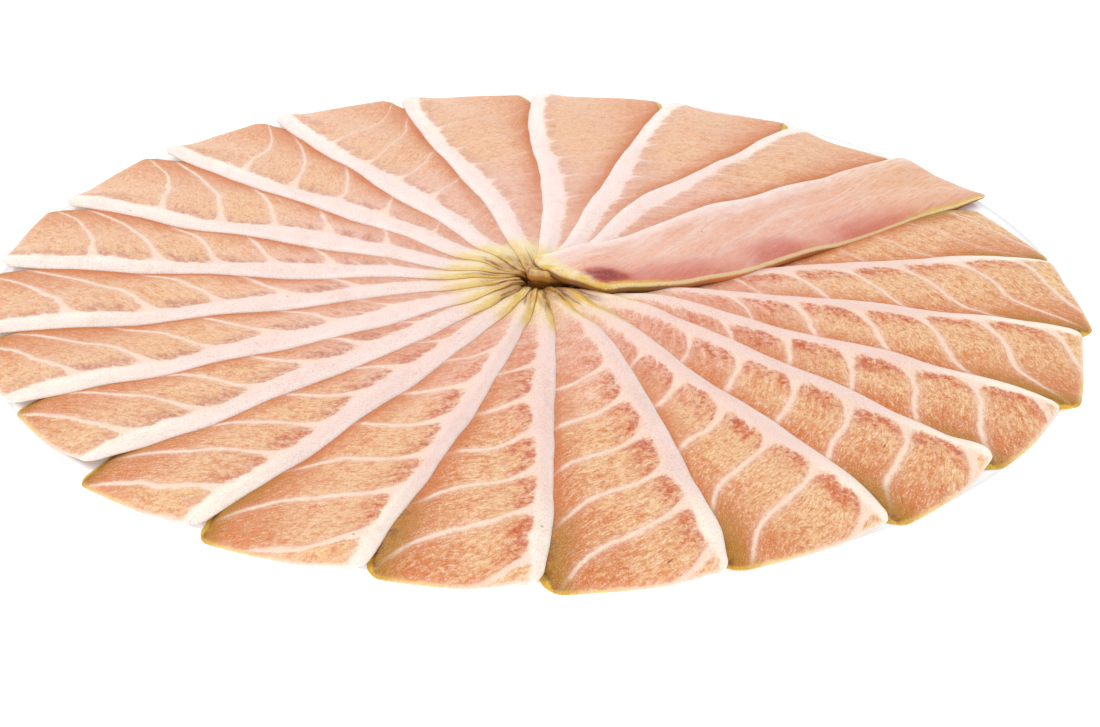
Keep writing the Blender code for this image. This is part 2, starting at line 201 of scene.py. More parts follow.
class PlateSettings(bpy.types.PropertyGroup):
    """Sizes and glaze of the plate."""

    radius: length("Radius", "Radius of the rim", (PLATE_HIGH.x - PLATE_LOW.x) / 2.0)
    lip_top: length("Rim height", "Height of the rim over the table", PLATE_HIGH.z)
    lip_thickness: length("Rim thickness", "Thickness of the rim", 0.0026)
    foot_radius: length("Foot radius", "Radius of the flat foot", 0.084)
    foot_height: length("Foot height", "Height of the foot ring", 0.0022)
    base_bevel: length("Foot edge", "Rounding of the foot's edge", 0.0006)
    sides: IntProperty(name="Sides", description="Steps round the plate", default=192, min=24)
    glaze: colour("Glaze", "Colour of the glaze", 251, 251, 252)
    cloud: colour("Glaze clouds", "Faint clouds in the glaze", 222, 222, 230)
    # painted light: the glaze glows faintly so the plate and its rim stay white
    painted_glow: number("Glow", "Own light of the glaze", 0.12)


class SliceSettings(bpy.types.PropertyGroup):
    """Sizes of the fish slices."""

    thickness: length("Thickness", "Thickness of a slice", 0.0011)
    hub_thickness: length("Hub thickness", "Thickness where the tips are pressed", 0.0005)
    edge_thickness: length("Edge thickness", "Thickness at the outline", 0.00018)
    clearance: length("Clearance", "Gap between a slice and what it lies on", 0.0005)
    fat_rise: length("Fat rise", "How far fat stands over flesh", 0.00012)
    dome_rise: length("Segment rise", "How far muscle segments bulge", 0.00016)
    lump_rise: length("Unevenness", "Height of broad unevenness", 0.00022)
    fibre_rise: length("Fibre height", "Height of the muscle fibres", 0.00005)
    edge_waver: length("Edge waver", "How far a cut edge wavers", 0.00030)
    right_spread: length("Right spread", "How far the right-hand fat edges stand out", 0.0010)
    edge_drop: length("Edge drop", "How far the edges sink on what they lie on", 0.00051)
    edge_tuck: length("Edge tuck", "How far an edge's under side goes in", 0.00040)
    skirt: length("Skirt", "Extra depth of the ends that bridge the tips", 0.0018)
    hub_fill: length("Hub fill", "How far the under side sinks round the tips", 0.00052)
    rows_along: IntProperty(name="Rows along", description="Grid along a slice", default=92, min=16)
    rows_across: IntProperty(name="Rows across", description="Grid across it", default=30, min=8)


class FishColours(bpy.types.PropertyGroup):
    """Colours of the flesh, the fat and the smoked edge."""

    tan: colour("Tan flesh", "Lightest flesh", 221, 177, 132)
    salmon: colour("Salmon flesh", "Warm flesh", 207, 135, 84)
    pink: colour("Pink flesh", "Lightest flesh towards the hub", 223, 176, 158)
    rose: colour("Rose flesh", "Warm flesh towards the hub", 208, 142, 122)
    blush: colour("Blush flesh", "Pale pink flesh of the far slices", 219, 174, 150)
    # the smoked side's warm brown, also used as painted shade beside a covering slice, on walls
    # near the hub and in fine grain
    russet_and_shade: colour("Russet flesh", "Flesh towards the smoked edge", 193, 106, 46)
    straw: colour("Straw flesh", "Pale yellow flesh of the rim", 226, 190, 134)
    # the tips' pale yellow, also used as painted highlight on the tips' fold peaks and the top
    # slice's cut end
    ridge_and_highlight: colour("Cream tips", "Pale yellow fat near the tips", 228, 212, 162)
    # the tips' brown-yellow, also used as painted shade on under sides near the hub and in the pit
    # on the glaze
    honey_and_shade: colour("Honey tips", "Brown-yellow of the inner tips", 172, 114, 42)
    red: colour("Dark lobes", "Dark lobes at the fat band", 196, 94, 42)
    purple: colour("Purple lobes", "Dark lobes of the middle segments", 184, 94, 66)
    fat: colour("Pink fat", "Fat towards the hub", 228, 199, 189)
    # the rim's pale fat, also used as painted fine highlight in the flesh's grain
    cream_and_light: colour("Cream fat", "Fat towards the rim", 246, 236, 219)
    # the palest fat, also used as painted light on the far slices' fat, the fat edge and fine grain
    milk_and_light: colour("White fat", "Palest fat", 238, 225, 220)
    membrane: colour("Membrane", "Membranes between segments", 234, 205, 182)
    olive: colour("Smoked edge", "Smoked skin side", 163, 113, 18)
    # the smoked tint, also used as painted shade in the tips' folds, on low under sides and in fine
    # grain
    bark_and_shade: colour("Deep smoke", "Darkest smoked tint", 92, 44, 10)
    gold: colour("Golden rim", "Thin lit rim of the smoked edge", 216, 178, 66)
    vein: colour("Vein", "Thin dark red veins", 120, 16, 16)
    plum: colour("Grey lobes", "Dark lobes of the pale slices", 172, 112, 96)
    flush: colour("Flush", "Red flush of the top slice", 188, 84, 66)


class StageSettings(bpy.types.PropertyGroup):
    """Floor, light and camera."""

    floor: colour("Floor", "Colour of the floor", 246, 246, 248)
    floor_glow: number("Floor glow", "Own light of the floor", 0.60)
    floor_size: length("Floor size", "Width of the floor", 6.0)
    focal_length: number("Focal length", "Camera lens in millimetres", 64.8)
    distance: length("Camera distance", "Distance of the camera in front of the plate", 0.4496)
    height: length("Camera height", "Height of the camera over the rim", 0.2151)
    side: length("Camera side", "How far right of the centre the camera is", 0.0041)
    tilt: angle("Tilt", "How far the camera looks down", 27.95)
    roll: angle("Roll", "Turn of the camera about its line of sight", 0.95)
    sky: number("Sky", "Strength of the even light", 1.0)
    back_power: number("Back light", "Power in watts", 3.4)
    side_power: number("Side light", "Power in watts", 1.8)
    front_power: number("Front light", "Power in watts", 2.2)


# ---------------------------------------------------------------- shape of the slices

def smooth(t):
    """Zero below 0, one above 1, with level ends."""
    t = np.clip(t, 0.0, 1.0)
    return t * t * (3.0 - 2.0 * t)


def spread(index, low, high):
    """A steady but uneven value for one slice, between two limits."""
    return low + (high - low) * (0.5 + 0.5 * math.sin(2.4 * index + 1.3 * math.sin(1.7 * index)))


def away_from(centre, points):
    """Distance of points from a centre, in plan."""
    return np.hypot(*(points - centre).T)


def plate_top(radius, plate):
    """Height of the plate's upper face."""
    rise = smooth((radius - WELL_RADIUS) / (plate.radius - WELL_RADIUS))
    return WELL_TOP + (plate.lip_top - WELL_TOP) * rise


class SliceShape:
    """The rule that places one slice in the rosette."""

    def __init__(self, index, plate, sizes):
        self.index, self.plate, self.sizes = index, plate, sizes
        self.top = index == 0
        self.along, self.across = self.axes()
        nose_angle = math.radians(NOSE_DEG[index])
        nose = ROSETTE_CENTRE - HUB + plate.radius * np.array(
            [math.cos(nose_angle), math.sin(nose_angle)])
        self.length, self.nose = nose @ self.along, nose @ self.across
        self.start = LONG_TIPS.get(index, spread(index, *TIP_START))

    def axes(self):
        """Unit vectors along and across: the fat edge ends just short of the next nose."""
        rim_angle = math.radians(NOSE_DEG[(self.index + 1) % SLICE_COUNT] - FAT_GAP_DEG)
        rim_way = np.array([math.cos(rim_angle), math.sin(rim_angle)])
        end = ROSETTE_CENTRE + self.plate.radius * REACH[self.index] * rim_way - HUB
        offset = (FAT_OFFSET - FAT_OUTER_BEND) / math.hypot(*end)
        angle = math.atan2(end[1], end[0]) - math.asin(offset)
        return (np.array([math.cos(angle), math.sin(angle)]),
                np.array([-math.sin(angle), math.cos(angle)]))

    def rim_distance(self, y):
        """Distance along the slice, at y, to the circle that the outer ends follow."""
        start = HUB + y[:, None] * self.across - ROSETTE_CENTRE
        middle = -(start @ self.along)
        reach = self.plate.radius * REACH[self.index]
        return middle + np.sqrt(np.maximum(reach**2 - (start**2).sum(axis=1) + middle**2, 0.0))

    def fat_edge(self, x):
        """Y of the fat edge at a distance from the hub."""
        inner = np.maximum(0.0, 1.0 - x / FAT_INNER_START)
        outer = np.maximum(0.0, (x / self.length - FAT_OUTER_START) / (1.0 - FAT_OUTER_START))
        inner_bend = 0.0 if self.top else FAT_INNER_BEND
        return FAT_OFFSET - inner_bend * inner**2 - FAT_OUTER_BEND * outer**2

    def smoked_edge(self, x):
        """Y of the smoked edge: narrow at the tip, bowed in the middle, straight to the nose."""
        tip = TOP_TIP_WIDTH if self.top else TIP_WIDTH
        place = TOP_BOW_PLACE if self.top else BOW_PLACE
        bow = self.nose * (TOP_BOW if self.top else BOW)
        inner = np.clip((x - self.start) / (place * self.length - self.start), 0.0, 1.0)
        outer = np.clip((x / self.length - place) / (1.0 - place), 0.0, 1.0)
        bowed = -tip + (bow + tip) * (1.0 - (1.0 - inner) ** BOW_POWER)
        return bowed + (self.nose - bow) * outer**2

    def plan(self, u, v):
        """Plan of points, u from the hub to the rim and v from smoked to fat edge, and the
        distances in metres that the patterns follow: along, in from the fat edge, to the
        rim, to the smoked edge and from the tip."""
        width = FAT_OFFSET - self.nose
        outer = self.rim_distance(self.nose + width * v)
        outer = outer + NOSE_REACH[self.index] * (1.0 - v) ** NOSE_POWER
        for distance, radius in ((v * width, NOSE_RADIUS), ((1.0 - v) * width, FAT_CORNER_RADIUS)):
            past = np.clip(1.0 - distance / radius, 0.0, 1.0)
            outer = outer - radius * (1.0 - np.sqrt(1.0 - past**2))
        depth = TOP_TIP_DEPTH if self.top else TIP_DEPTH
        inner = self.start + depth * (1.0 - np.sqrt(1.0 - (2.0 * v - 1.0) ** 2))
        x = inner + (outer - inner) * u
        smoked, fat = self.smoked_edge(x), self.fat_edge(x)
        y = smoked + (fat - smoked) * v
        distances = np.stack([x, fat - y, outer - x, y - smoked, x - inner], axis=1)
        swayed = np.clip(x / (SWAY_LENGTH * self.length), 0.0, 1.0)
        y = y + SWAY[self.index] * np.sin(math.pi * swayed) ** 2
        gather = np.clip(1.0 - x / GATHER_RADIUS, 0.0, 1.0) ** 2
        points = HUB + x[:, None] * self.along + y[:, None] * self.across
        return points + gather[:, None] * (TIP_CENTRE - HUB), distances

    def outline(self):
        """Closed outline in plan."""
        run = np.linspace(0.0, 1.0, OUTLINE_STEPS, endpoint=False)
        zero = np.zeros_like(run)
        u = np.concatenate([run, zero + 1.0, 1.0 - run, zero])
        v = np.concatenate([zero, run, zero + 1.0, 1.0 - run])
        return self.plan(u, v)[0]

    def waver(self, points, distances):
        """Move the points near the long edges a little, as a knife leaves them."""
        x = distances[:, 0] / MM
        phase = WAVER_TURN * self.index
        run = sum(high * np.sin(x / long + turn * phase) for long, turn, high in WAVER_WAVES)
        run = self.sizes.edge_waver * run / sum(wave[2] for wave in WAVER_WAVES)
        fat_side = smooth(1.0 - distances[:, 1] / WAVER_ZONE)
        smoked_side = smooth(1.0 - distances[:, 3] / WAVER_ZONE)
        calm = smooth(distances[:, 4] / WAVER_CALM[0]) * smooth(distances[:, 2] / WAVER_CALM[1])
        right = smooth((x - RIGHT_START) / RIGHT_LENGTH) * (self.index in RIGHT_SLICES)
        stand_out = self.sizes.right_spread * right + EDGE_SPREAD.get(self.index, 0.0) * MM
        shift = (run * (fat_side - 0.5 * smoked_side) + stand_out * fat_side) * calm
        return points + shift[:, None] * self.across

    def full_thickness(self, points):
        """Thickness of the slices, less where they press on each other round the tips."""
        sizes = self.sizes
        share = smooth(away_from(TIP_CENTRE, points) / PRESSED_RADIUS)
        return sizes.hub_thickness + (sizes.thickness - sizes.hub_thickness) * share

    def heights(self, u, v, points, outlines):
        """Height of the under side: the plate, and a layer for each slice beneath."""
        turn = points @ WAVE_AXES / WAVE_LENGTH * 2.0 * math.pi
        wave = WAVE_HEIGHT * (1.0 + 0.5 * np.sin(turn[:, 0]) + 0.5 * np.sin(turn[:, 1] + 1.0))
        z = plate_top(np.hypot(*points.T), self.plate) + self.sizes.clearance + wave
        away = away_from(ROSETTE_CENTRE, points)
        risen = smooth((away - PILE_INNER[0]) / (PILE_INNER[1] - PILE_INNER[0]))
        fallen = smooth((away - PILE_OUTER[0]) / (PILE_OUTER[1] - PILE_OUTER[0]))
        z = z + PILE_RISE * (risen - fallen)
        openness = np.clip(away_from(HUB, points) / OPEN_RADIUS, 0.0, 1.0)
        shoulder = SHOULDER[0] + (SHOULDER[1] - SHOULDER[0]) * openness
        fall = FALL[0] + (FALL[1] - FALL[0]) * openness
        layer = self.full_thickness(points) + self.sizes.clearance
        for lower in range(self.index + 1, SLICE_COUNT):
            gap = outside_distance(points, outlines[lower])
            z = z + layer * (1.0 - smooth((gap - shoulder) / fall))
        if self.index < BRIDGES:
            away = away_from(TIP_CENTRE, points)
            bridge = WELL_TOP + BRIDGE_HEIGHT * (1.0 - smooth(away / BRIDGE_RADIUS))
            z = raised_to(bridge - self.index * layer, z)
        if self.top:
            fade = 1.0 - smooth((points - HUB) @ self.along / TOP_LENGTH)
            ripple = TOP_RIPPLE * np.sin(2.0 * math.pi * TOP_RIPPLES * u) * (1.0 - v) ** 3
            arch = WELL_TOP + fade * (TOP_HEIGHT - TOP_CROWN * (2.0 * v - 1.0) ** 2) + ripple
            z = raised_to(arch, z + TOP_CLEARANCE)
        away = away_from(TIP_CENTRE, points)
        z = z + HUB_RING * np.exp(-(((away - RING_RADIUS) / RING_WIDTH) ** 2))
        if self.index in CURL:
            near_rim = smooth(1.0 - (1.0 - u) / CURL_LENGTH)
            near_corner = smooth((v - CURL_START) / (1.0 - CURL_START))
            z = z + CURL[self.index] * near_rim * near_corner
        return z


def outside_distance(points, polygon):
    """Distance from points to a polygon, and zero for points inside it."""
    start = polygon[None, :, :]
    edge = np.roll(polygon, -1, axis=0)[None, :, :] - start
    to_point = points[:, None, :] - start
    share = (to_point * edge).sum(axis=2) / np.maximum((edge**2).sum(axis=2), 1e-12)
    away = to_point - np.clip(share, 0.0, 1.0)[:, :, None] * edge
    distance = np.sqrt((away**2).sum(axis=2).min(axis=1))
    y = points[:, None, 1]
    low = start[:, :, 1]
    high = low + edge[:, :, 1]
    crosses = (low > y) != (high > y)
    at = start[:, :, 0] + (y - low) / np.where(crosses, high - low, 1.0) * edge[:, :, 0]
    inside = (crosses & (points[:, None, 0] < at)).sum(axis=1) % 2 == 1
    return np.where(inside, 0.0, distance)


def raised_to(level, z):
    """The higher of two surfaces, with a soft change from one to the other."""
    return z + BRIDGE_BLEND * np.log1p(np.exp((level - z) / BRIDGE_BLEND))


def membrane_place(index, along, inward):
    """Steady coordinate that is a whole number on each membrane; along and inward in mm."""
    depth = inward - BAND_WIDTH[index]
    lean = MEMBRANE_LEAN.get(index, 1.0)
    swing = MEMBRANE_SWING / lean**2 * np.sin(2.0 * math.pi * depth / MEMBRANE_SWING_LENGTH)
    drop = MEMBRANE_SLOPE * depth + MEMBRANE_CURVE * lean * depth * np.abs(depth) + swing
    first = MEMBRANES[1]
    along = first + (along - MEMBRANE_SHIFT[index] - first) / LONG_SEGMENTS.get(index, 1.0)
    loss = -RIM_SLOPE_GAIN if index in SLANTED else RIM_SLOPE_LOSS
    loss = loss * smooth((along - drop - RIM_START) / RIM_LENGTH)
    level = along - drop * (1.0 - loss)
    return np.interp(level, MEMBRANES[::-1], np.arange(len(MEMBRANES))[::-1].astype(float))


def base_mesh(shape, outlines):
    """A closed thin sheet with the slice's form, and the distances that its patterns follow."""
    sizes = shape.sizes
    sheet = bmesh.new()
    bmesh.ops.create_grid(sheet, size=0.5,
                          x_segments=sizes.rows_along, y_segments=sizes.rows_across)
    flat = np.array([vertex.co[:2] for vertex in sheet.verts]) + 0.5
    u, v = flat[:, 0], flat[:, 1]
    points, distances = shape.plan(u, v)
    points = shape.waver(points, distances)
    lower = shape.heights(u, v, points, outlines)
    inward = np.minimum(np.minimum(v, 1.0 - v), np.minimum(u, 1.0 - u))
    full = shape.full_thickness(points)
    taper = smooth(inward / EDGE_TAPER)
    upper = lower + sizes.edge_thickness + (full - sizes.edge_thickness) * taper
    open_share = (full - sizes.hub_thickness) / (sizes.thickness - sizes.hub_thickness)
    nearest = distances[:, 1:4].min(axis=1)
    drop = sizes.edge_drop * smooth(1.0 - nearest / DROP_WIDTH)
    tuck = sizes.edge_tuck * smooth(1.0 - nearest / TUCK_WIDTH)
    lower = lower - np.maximum(drop, sizes.hub_fill * (1.0 - open_share)) - tuck
    upper = upper - drop
    near_end = smooth(1.0 - distances[:, 4] / SKIRT_END)
    if shape.index < BRIDGES:
        near_edge = smooth(1.0 - distances[:, 3] / SKIRT_SIDE)
        reach_out = TOP_SKIRT_REACH if shape.top else SKIRT_REACH
        near_hub = 1.0 - smooth((distances[:, 0] - reach_out) / SKIRT_FADE)
        lower = lower - sizes.skirt * np.maximum(near_end * BRIDGE_SKIRT, near_edge * near_hub)
    else:
        lower = lower - sizes.skirt * LOW_SKIRT * near_end
    for vertex, point, height in zip(sheet.verts, points, lower):
        vertex.co = (point[0], point[1], height)
    count = len(sheet.verts)
    raised = bmesh.ops.extrude_face_region(sheet, geom=sheet.faces[:], use_keep_orig=True)
    at = {tuple(vertex.co): k for k, vertex in enumerate(sheet.verts[:count])}
    source = np.arange(count)
    for vertex in (item for item in raised["geom"] if isinstance(item, bmesh.types.BMVert)):
        k = at[tuple(vertex.co)]
        source = np.append(source, k)
        vertex.co.z = upper[k]
    bmesh.ops.recalc_face_normals(sheet, faces=sheet.faces[:])
    name = f"fish_slice_{shape.index:02d}"
    mesh = bpy.data.meshes.new(name)
    sheet.to_mesh(mesh)
    sheet.free()
    millimetres = distances / MM
    place = np.column_stack([millimetres[:, 0], millimetres[:, 1],
                             membrane_place(shape.index, millimetres[:, 0], millimetres[:, 1])])
    reach = millimetres[:, 2:5]
    kind = np.tile([shape.index * 7.31, BAND_WIDTH[shape.index], float(shape.top)], (count, 1))
    covers = outlines[max(shape.index - 1, 0):shape.index] + outlines[:min(shape.index, 1)]
    gaps = [outside_distance(points, other) for other in covers] or [points[:, 0] + 1.0]
    cover = np.min(gaps, axis=0)
    look = np.column_stack([cover / MM, np.full(count, PALENESS[shape.index]),
                            np.full(count, CLEARNESS[shape.index])])
    side = np.repeat([0.0, 1.0], count)
    for label, values in zip(DISTANCES, (place, reach, kind, look)):
        layer = mesh.attributes.new(label, "FLOAT_VECTOR", "POINT")
        layer.data.foreach_set("vector", values[source].astype(np.float32).ravel())
    layer = mesh.attributes.new("upper", "FLOAT", "POINT")
    layer.data.foreach_set("value", side.astype(np.float32))
    return mesh


# ---------------------------------------------------------------- sums written as nodes

class Wire:
    """An output socket that can be added, multiplied and so on; each sum is a Math node."""

    def __init__(self, tree, socket):
        self.tree, self.socket = tree, socket

    def sum(self, operation, *others):
        node = self.tree.nodes.new("ShaderNodeMath")
        node.operation = operation
        for slot, value in zip(node.inputs, (self, *others)):
            feed(self.tree, slot, value)
        return Wire(self.tree, node.outputs[0])

    def __add__(self, other):
        return self.sum("ADD", other)

    def __sub__(self, other):
        return self.sum("SUBTRACT", other)

    def __mul__(self, other):
        return self.sum("MULTIPLY", other)

    def __truediv__(self, other):
        return self.sum("DIVIDE", other)

    __radd__, __rmul__ = __add__, __mul__

    def __rsub__(self, other):
        return (self * -1.0) + other

    def __abs__(self):
        return self.sum("ABSOLUTE")


def feed(tree, slot, value):
    """Link a wire to a socket, or set the socket's own value."""
    if isinstance(value, Wire):
        tree.links.new(value.socket, slot)
    else:
        slot.default_value = value


def step(wire, low, high):
    """From 0 at low to 1 at high, with level ends. High may be the smaller."""
    tree = wire.tree
    node = tree.nodes.new("ShaderNodeMapRange")
    node.interpolation_type = "SMOOTHSTEP"
    flip = high < low
    for slot, value in zip(node.inputs, (wire, min(low, high), max(low, high),
                                         1.0 if flip else 0.0, 0.0 if flip else 1.0)):
        feed(tree, slot, value)
    return Wire(tree, node.outputs[0])


def split(wire):
    """The three parts of a vector."""
    node = wire.tree.nodes.new("ShaderNodeSeparateXYZ")
    feed(wire.tree, node.inputs[0], wire)
    return [Wire(wire.tree, socket) for socket in node.outputs]


def join(tree, x, y, z):
    """A vector from three parts."""
    node = tree.nodes.new("ShaderNodeCombineXYZ")
    for slot, value in zip(node.inputs, (x, y, z)):
        feed(tree, slot, value)
    return Wire(tree, node.outputs[0])


def noise(x, y, z, detail=2.0, roughness=0.5):
    """Noise from about 0 to 1, for coordinates already in units of its grain."""
    tree = x.tree
    node = tree.nodes.new("ShaderNodeTexNoise")
    feed(tree, node.inputs["Vector"], join(tree, x, y, z))
    feed(tree, node.inputs["Scale"], 1.0)
    feed(tree, node.inputs["Detail"], detail)
    feed(tree, node.inputs["Roughness"], roughness)
    return Wire(tree, node.outputs["Fac" if "Fac" in node.outputs else 0])


def cells(x, y, z):
    """Distance to the nearest cell centre and a random value for each cell."""
    tree = x.tree
    node = tree.nodes.new("ShaderNodeTexVoronoi")
    feed(tree, node.inputs["Vector"], join(tree, x, y, z))
    feed(tree, node.inputs["Scale"], 1.0)
    feed(tree, node.inputs["Randomness"], 1.0)
    return Wire(tree, node.outputs["Distance"]), split(Wire(tree, node.outputs["Color"]))[0]


def blend(factor, below, above):
    """Mix of two colours."""
    tree = factor.tree
    node = tree.nodes.new("ShaderNodeMix")
    node.data_type = "RGBA"
    feed(tree, node.inputs[0], factor)
    feed(tree, node.inputs[6], below if isinstance(below, Wire) else (*below, 1.0))
    feed(tree, node.inputs[7], above if isinstance(above, Wire) else (*above, 1.0))
    return Wire(tree, node.outputs[2])


# ---------------------------------------------------------------- the pattern of the flesh

def flesh_layout(place, reach, kind, look):
    """How far each point is from fat, membranes and lobes: the same sums give the relief
    and the colours. All distances are in mm."""
    along, inward, segment = split(place)
    to_rim, to_smoked, from_tip = split(reach)
    seed, band, top = split(kind)
    cover, pale, clear = split(look)
    swell = noise(along * 0.09, inward * 0.12, seed, 1.0) - 0.5
    waver = noise(along * 0.50, inward * 0.50, seed + 3.1, 2.0) - 0.5
    fray = noise(along * 1.6, inward * 1.6, seed + 5.7, 2.0) - 0.5
    segment = segment + (swell * 1.6 + waver * 0.9 + fray * 0.25) / SEGMENT_LENGTH
    inner_calm = step(along, 58.0, 22.0)

    # the fat band narrows outwards, and at the rim's corner widens on the pale slices alone
    band = band * (1.08 - step(along, 64.0, 100.0) * 0.28) - inner_calm * 0.9
    band = band + step(to_rim, 12.0, 2.0) * (pale * 2.4 - 1.2)
    into_flesh = inward - band - swell * 2.2 - waver * 1.6 - fray * 1.1
    depth = into_flesh.sum("MAXIMUM", 0.0)

    # membranes are widest at the fat band and fade towards the hub
    last = step(segment, 1.04, 0.96)
    line = abs(segment - segment.sum("ROUND")) * (SHARE_SEEN * SEGMENT_LENGTH) * (last * 2.4 + 1.0)
    final = step(abs(segment - 1.0), 0.20, 0.05) * (1.0 - pale)
    line = line - 0.36 - step(depth, 6.5, 0.0) * 0.75 - final * 0.15 + inner_calm * 1.7
    line = line + (1.0 - clear) * 1.1

    # fat reaches in a little between the lobules of each segment, and along the rim
    lobule = segment * LOBULES + swell * 1.3 + waver * 0.30 + 0.5
    from_gap = abs(lobule - lobule.sum("ROUND")) * (SHARE_SEEN * SEGMENT_LENGTH / LOBULES)
    notch = from_gap + depth * 0.34 - 0.12 + inner_calm * 0.1
    flesh = into_flesh.sum("SMOOTH_MIN", line, 3.6).sum("SMOOTH_MIN", notch, 1.3)
    flesh = flesh.sum("SMOOTH_MIN", to_rim - 0.4 - waver * 1.5, 1.0)
    return SimpleNamespace(
        along=along, inward=inward, segment=segment, last=last, seed=seed, top=top,
        to_rim=to_rim, to_smoked=to_smoked, from_tip=from_tip, cover=cover, pale=pale,
        clear=clear, depth=depth, into_flesh=into_flesh, flesh=flesh)


def spots(lay, along, inward, seed, detail=2.0, roughness=0.5):
    """Noise with so many grains to a mm along a slice and in from its fat edge."""
    return noise(lay.along * along, lay.inward * inward, lay.seed + seed, detail, roughness)


def fibres(lay, fineness, seed=9.0):
    """Streaks that run with the membranes, and on the top slice nearly along it."""
    level = lay.segment * -SEGMENT_LENGTH
    level = level + lay.top * (lay.inward + lay.along * 0.25 - level)
    run = lay.inward * 0.22
    run = run + lay.top * (lay.along * 0.12 - run)
    return noise(level * fineness, run * fineness, lay.seed + seed, 2.0, 0.6)


def chain(tree, geometry, *nodes):
    """Geometry run through nodes, each given as its type and its other inputs."""
    for kind, inputs in nodes:
        node = tree.nodes.new(kind)
        feed(tree, node.inputs[0], geometry)
        for label, value in inputs.items():
            feed(tree, node.inputs[label], value)
        geometry = Wire(tree, node.outputs[0])
    return geometry


def relief_tree():
    """Geometry nodes that smooth a slice and raise fat, segments and fibres on it."""
    tree = bpy.data.node_groups.new("slice_relief", "GeometryNodeTree")
    kinds = {"Geometry": "Geometry", **dict.fromkeys(RELIEF, "Float"), "Material": "Material"}
    for label, kind in kinds.items():
        tree.interface.new_socket(label, in_out="INPUT", socket_type=f"NodeSocket{kind}")
    tree.interface.new_socket("Geometry", in_out="OUTPUT", socket_type="NodeSocketGeometry")
    given = tree.nodes.new("NodeGroupInput")
    done = tree.nodes.new("NodeGroupOutput")
    inputs = {socket.name: Wire(tree, socket) for socket in given.outputs if socket.name}

    def attribute(label, kind):
        node = tree.nodes.new("GeometryNodeInputNamedAttribute")
        node.data_type = kind
        node.inputs["Name"].default_value = label
        return Wire(tree, node.outputs[0])

    lay = flesh_layout(*(attribute(label, "FLOAT_VECTOR") for label in DISTANCES))
    fat = step(lay.flesh, 0.5, 0.0)
    dome = step(lay.flesh, 0.0, 3.2)
    lumps = spots(lay, 0.09, 0.09, 20.0)
    grain = fibres(lay, 1.3)
    rise = (fat * inputs["Fat Rise"] + dome * inputs["Segment Rise"]
            + (lumps - 0.5) * inputs["Unevenness"] + (grain - 0.5) * inputs["Fibre Height"])
    rise = rise * attribute("upper", "FLOAT")
    rise = rise * step(lay.from_tip, 1.0, 6.0) * step(lay.cover, 0.6, 3.5)
    shaped = chain(
        tree, inputs["Geometry"],
        ("GeometryNodeSubdivisionSurface", {"Level": 1}),
        ("GeometryNodeSetPosition", {"Offset": join(tree, 0.0, 0.0, rise)}),
        ("GeometryNodeSetShadeSmooth", {}),
        ("GeometryNodeRealizeInstances", {}),
        ("GeometryNodeSetMaterial", {"Material": inputs["Material"]}))
    feed(tree, done.inputs[0], shaped)
    return tree


def set_input(modifier, label, value):
    """Set a node modifier's input by its name in the tree."""
    for item in modifier.node_group.interface.items_tree:
        if item.item_type == "SOCKET" and item.in_out == "INPUT" and item.name == label:
            modifier[item.identifier] = value
            return
    raise RuntimeError(f"the tree has no input named {label}")


# ---------------------------------------------------------------- colours of the fish

def painted(base, *coats):
    """A colour with others laid over it, each by its own share."""
    for share, coat in coats:
        base = blend(share, base, coat)
    return base


def ragged(way, texture, swing):
    """A distance that a noise moves to and fro, by so many mm in all."""
    return way + (texture - 0.5) * swing


def add_textures(lay):
    """Put the noises and shares that the colours have in common with the layout."""
    lay.mottle = spots(lay, 0.20, 0.24, 12.0, 4.0, 0.66)
    lay.patch = spots(lay, 0.42, 0.42, 13.0, 3.0, 0.6)
    lay.grain = spots(lay, 1.8, 1.8, 15.0, 3.0, 0.75)
    lay.dust = spots(lay, 4.2, 4.2, 16.0, 1.0, 0.5)
    lay.streak = fibres(lay, 1.1)
    lay.fine_streak = fibres(lay, 2.8, 17.0)
    lay.straw_end = lay.last * (1.0 - lay.pale * 0.75)
    lay.nose = step(lay.along, 94.0, 114.0)


def plain_flesh(lay, colours):
    """Tan flesh, warmer outwards and to the smoked side, pinker inwards, with fine clumps, painted
    shade beside the slice that covers it, and a fine grain that is partly painted shade and
    highlight.
    """
    along, pale, patch = lay.along, lay.pale, lay.patch
    tone = lay.mottle * 0.8 + patch * 0.7 + lay.streak * 0.35 + lay.grain * 0.25
    warmth = step(tone + (lay.to_smoked - 16.0) * -0.012, 0.84, 1.26)
    pinker = step(along + lay.mottle * 34.0 - pale * 22.0, 96.0, 58.0)
    smoky = step(ragged(lay.to_smoked, patch, 9.0), 22.0, 6.0) * (1.0 - pale * 0.30)
    deep = blend(pale * 0.7, colours.russet_and_shade, colours.salmon)
    cover_shade_strip = step(ragged(lay.cover, patch, 3.0), 7.5, 0.8) * step(along, 20.0, 60.0)
    clump = spots(lay, 0.85, 0.85, 18.0, 2.0, 0.6) * 0.6 + lay.streak * 0.4
    grain_and_shade = lay.grain * 0.45 + lay.fine_streak * 0.65
    plain = (1.0 - pale * 0.55) * (step(along, 52.0, 86.0) * 0.40 + 0.60)
    return painted(
        blend(warmth, colours.tan, colours.salmon),
        (pinker * 0.88, blend(warmth, colours.pink, colours.rose)),
        (lay.straw_end * (step(patch, 0.62, 0.44) * 0.5 + 0.35), colours.straw),
        (pale * (step(along, 84.0, 118.0) * 0.35 + 0.25), colours.blush),
        (smoky * (step(along, 56.0, 96.0) * 0.44 + 0.28), deep),
        # painted shade beside the covering slice's edge, partly the smoked side's own deeper tint
        (cover_shade_strip * (0.64 - pale * 0.10), colours.russet_and_shade),
        (step(clump, 0.51, 0.63) * plain * 0.62, colours.russet_and_shade),
        (step(clump, 0.47, 0.36) * plain * 0.38, colours.straw),
        # fine grain: partly the flesh's own fibres, partly painted fine shade and highlight
        (step(grain_and_shade, 0.565, 0.66) * plain * 0.55, colours.russet_and_shade),
        (step(grain_and_shade, 0.525, 0.42) * plain * 0.36, colours.cream_and_light))


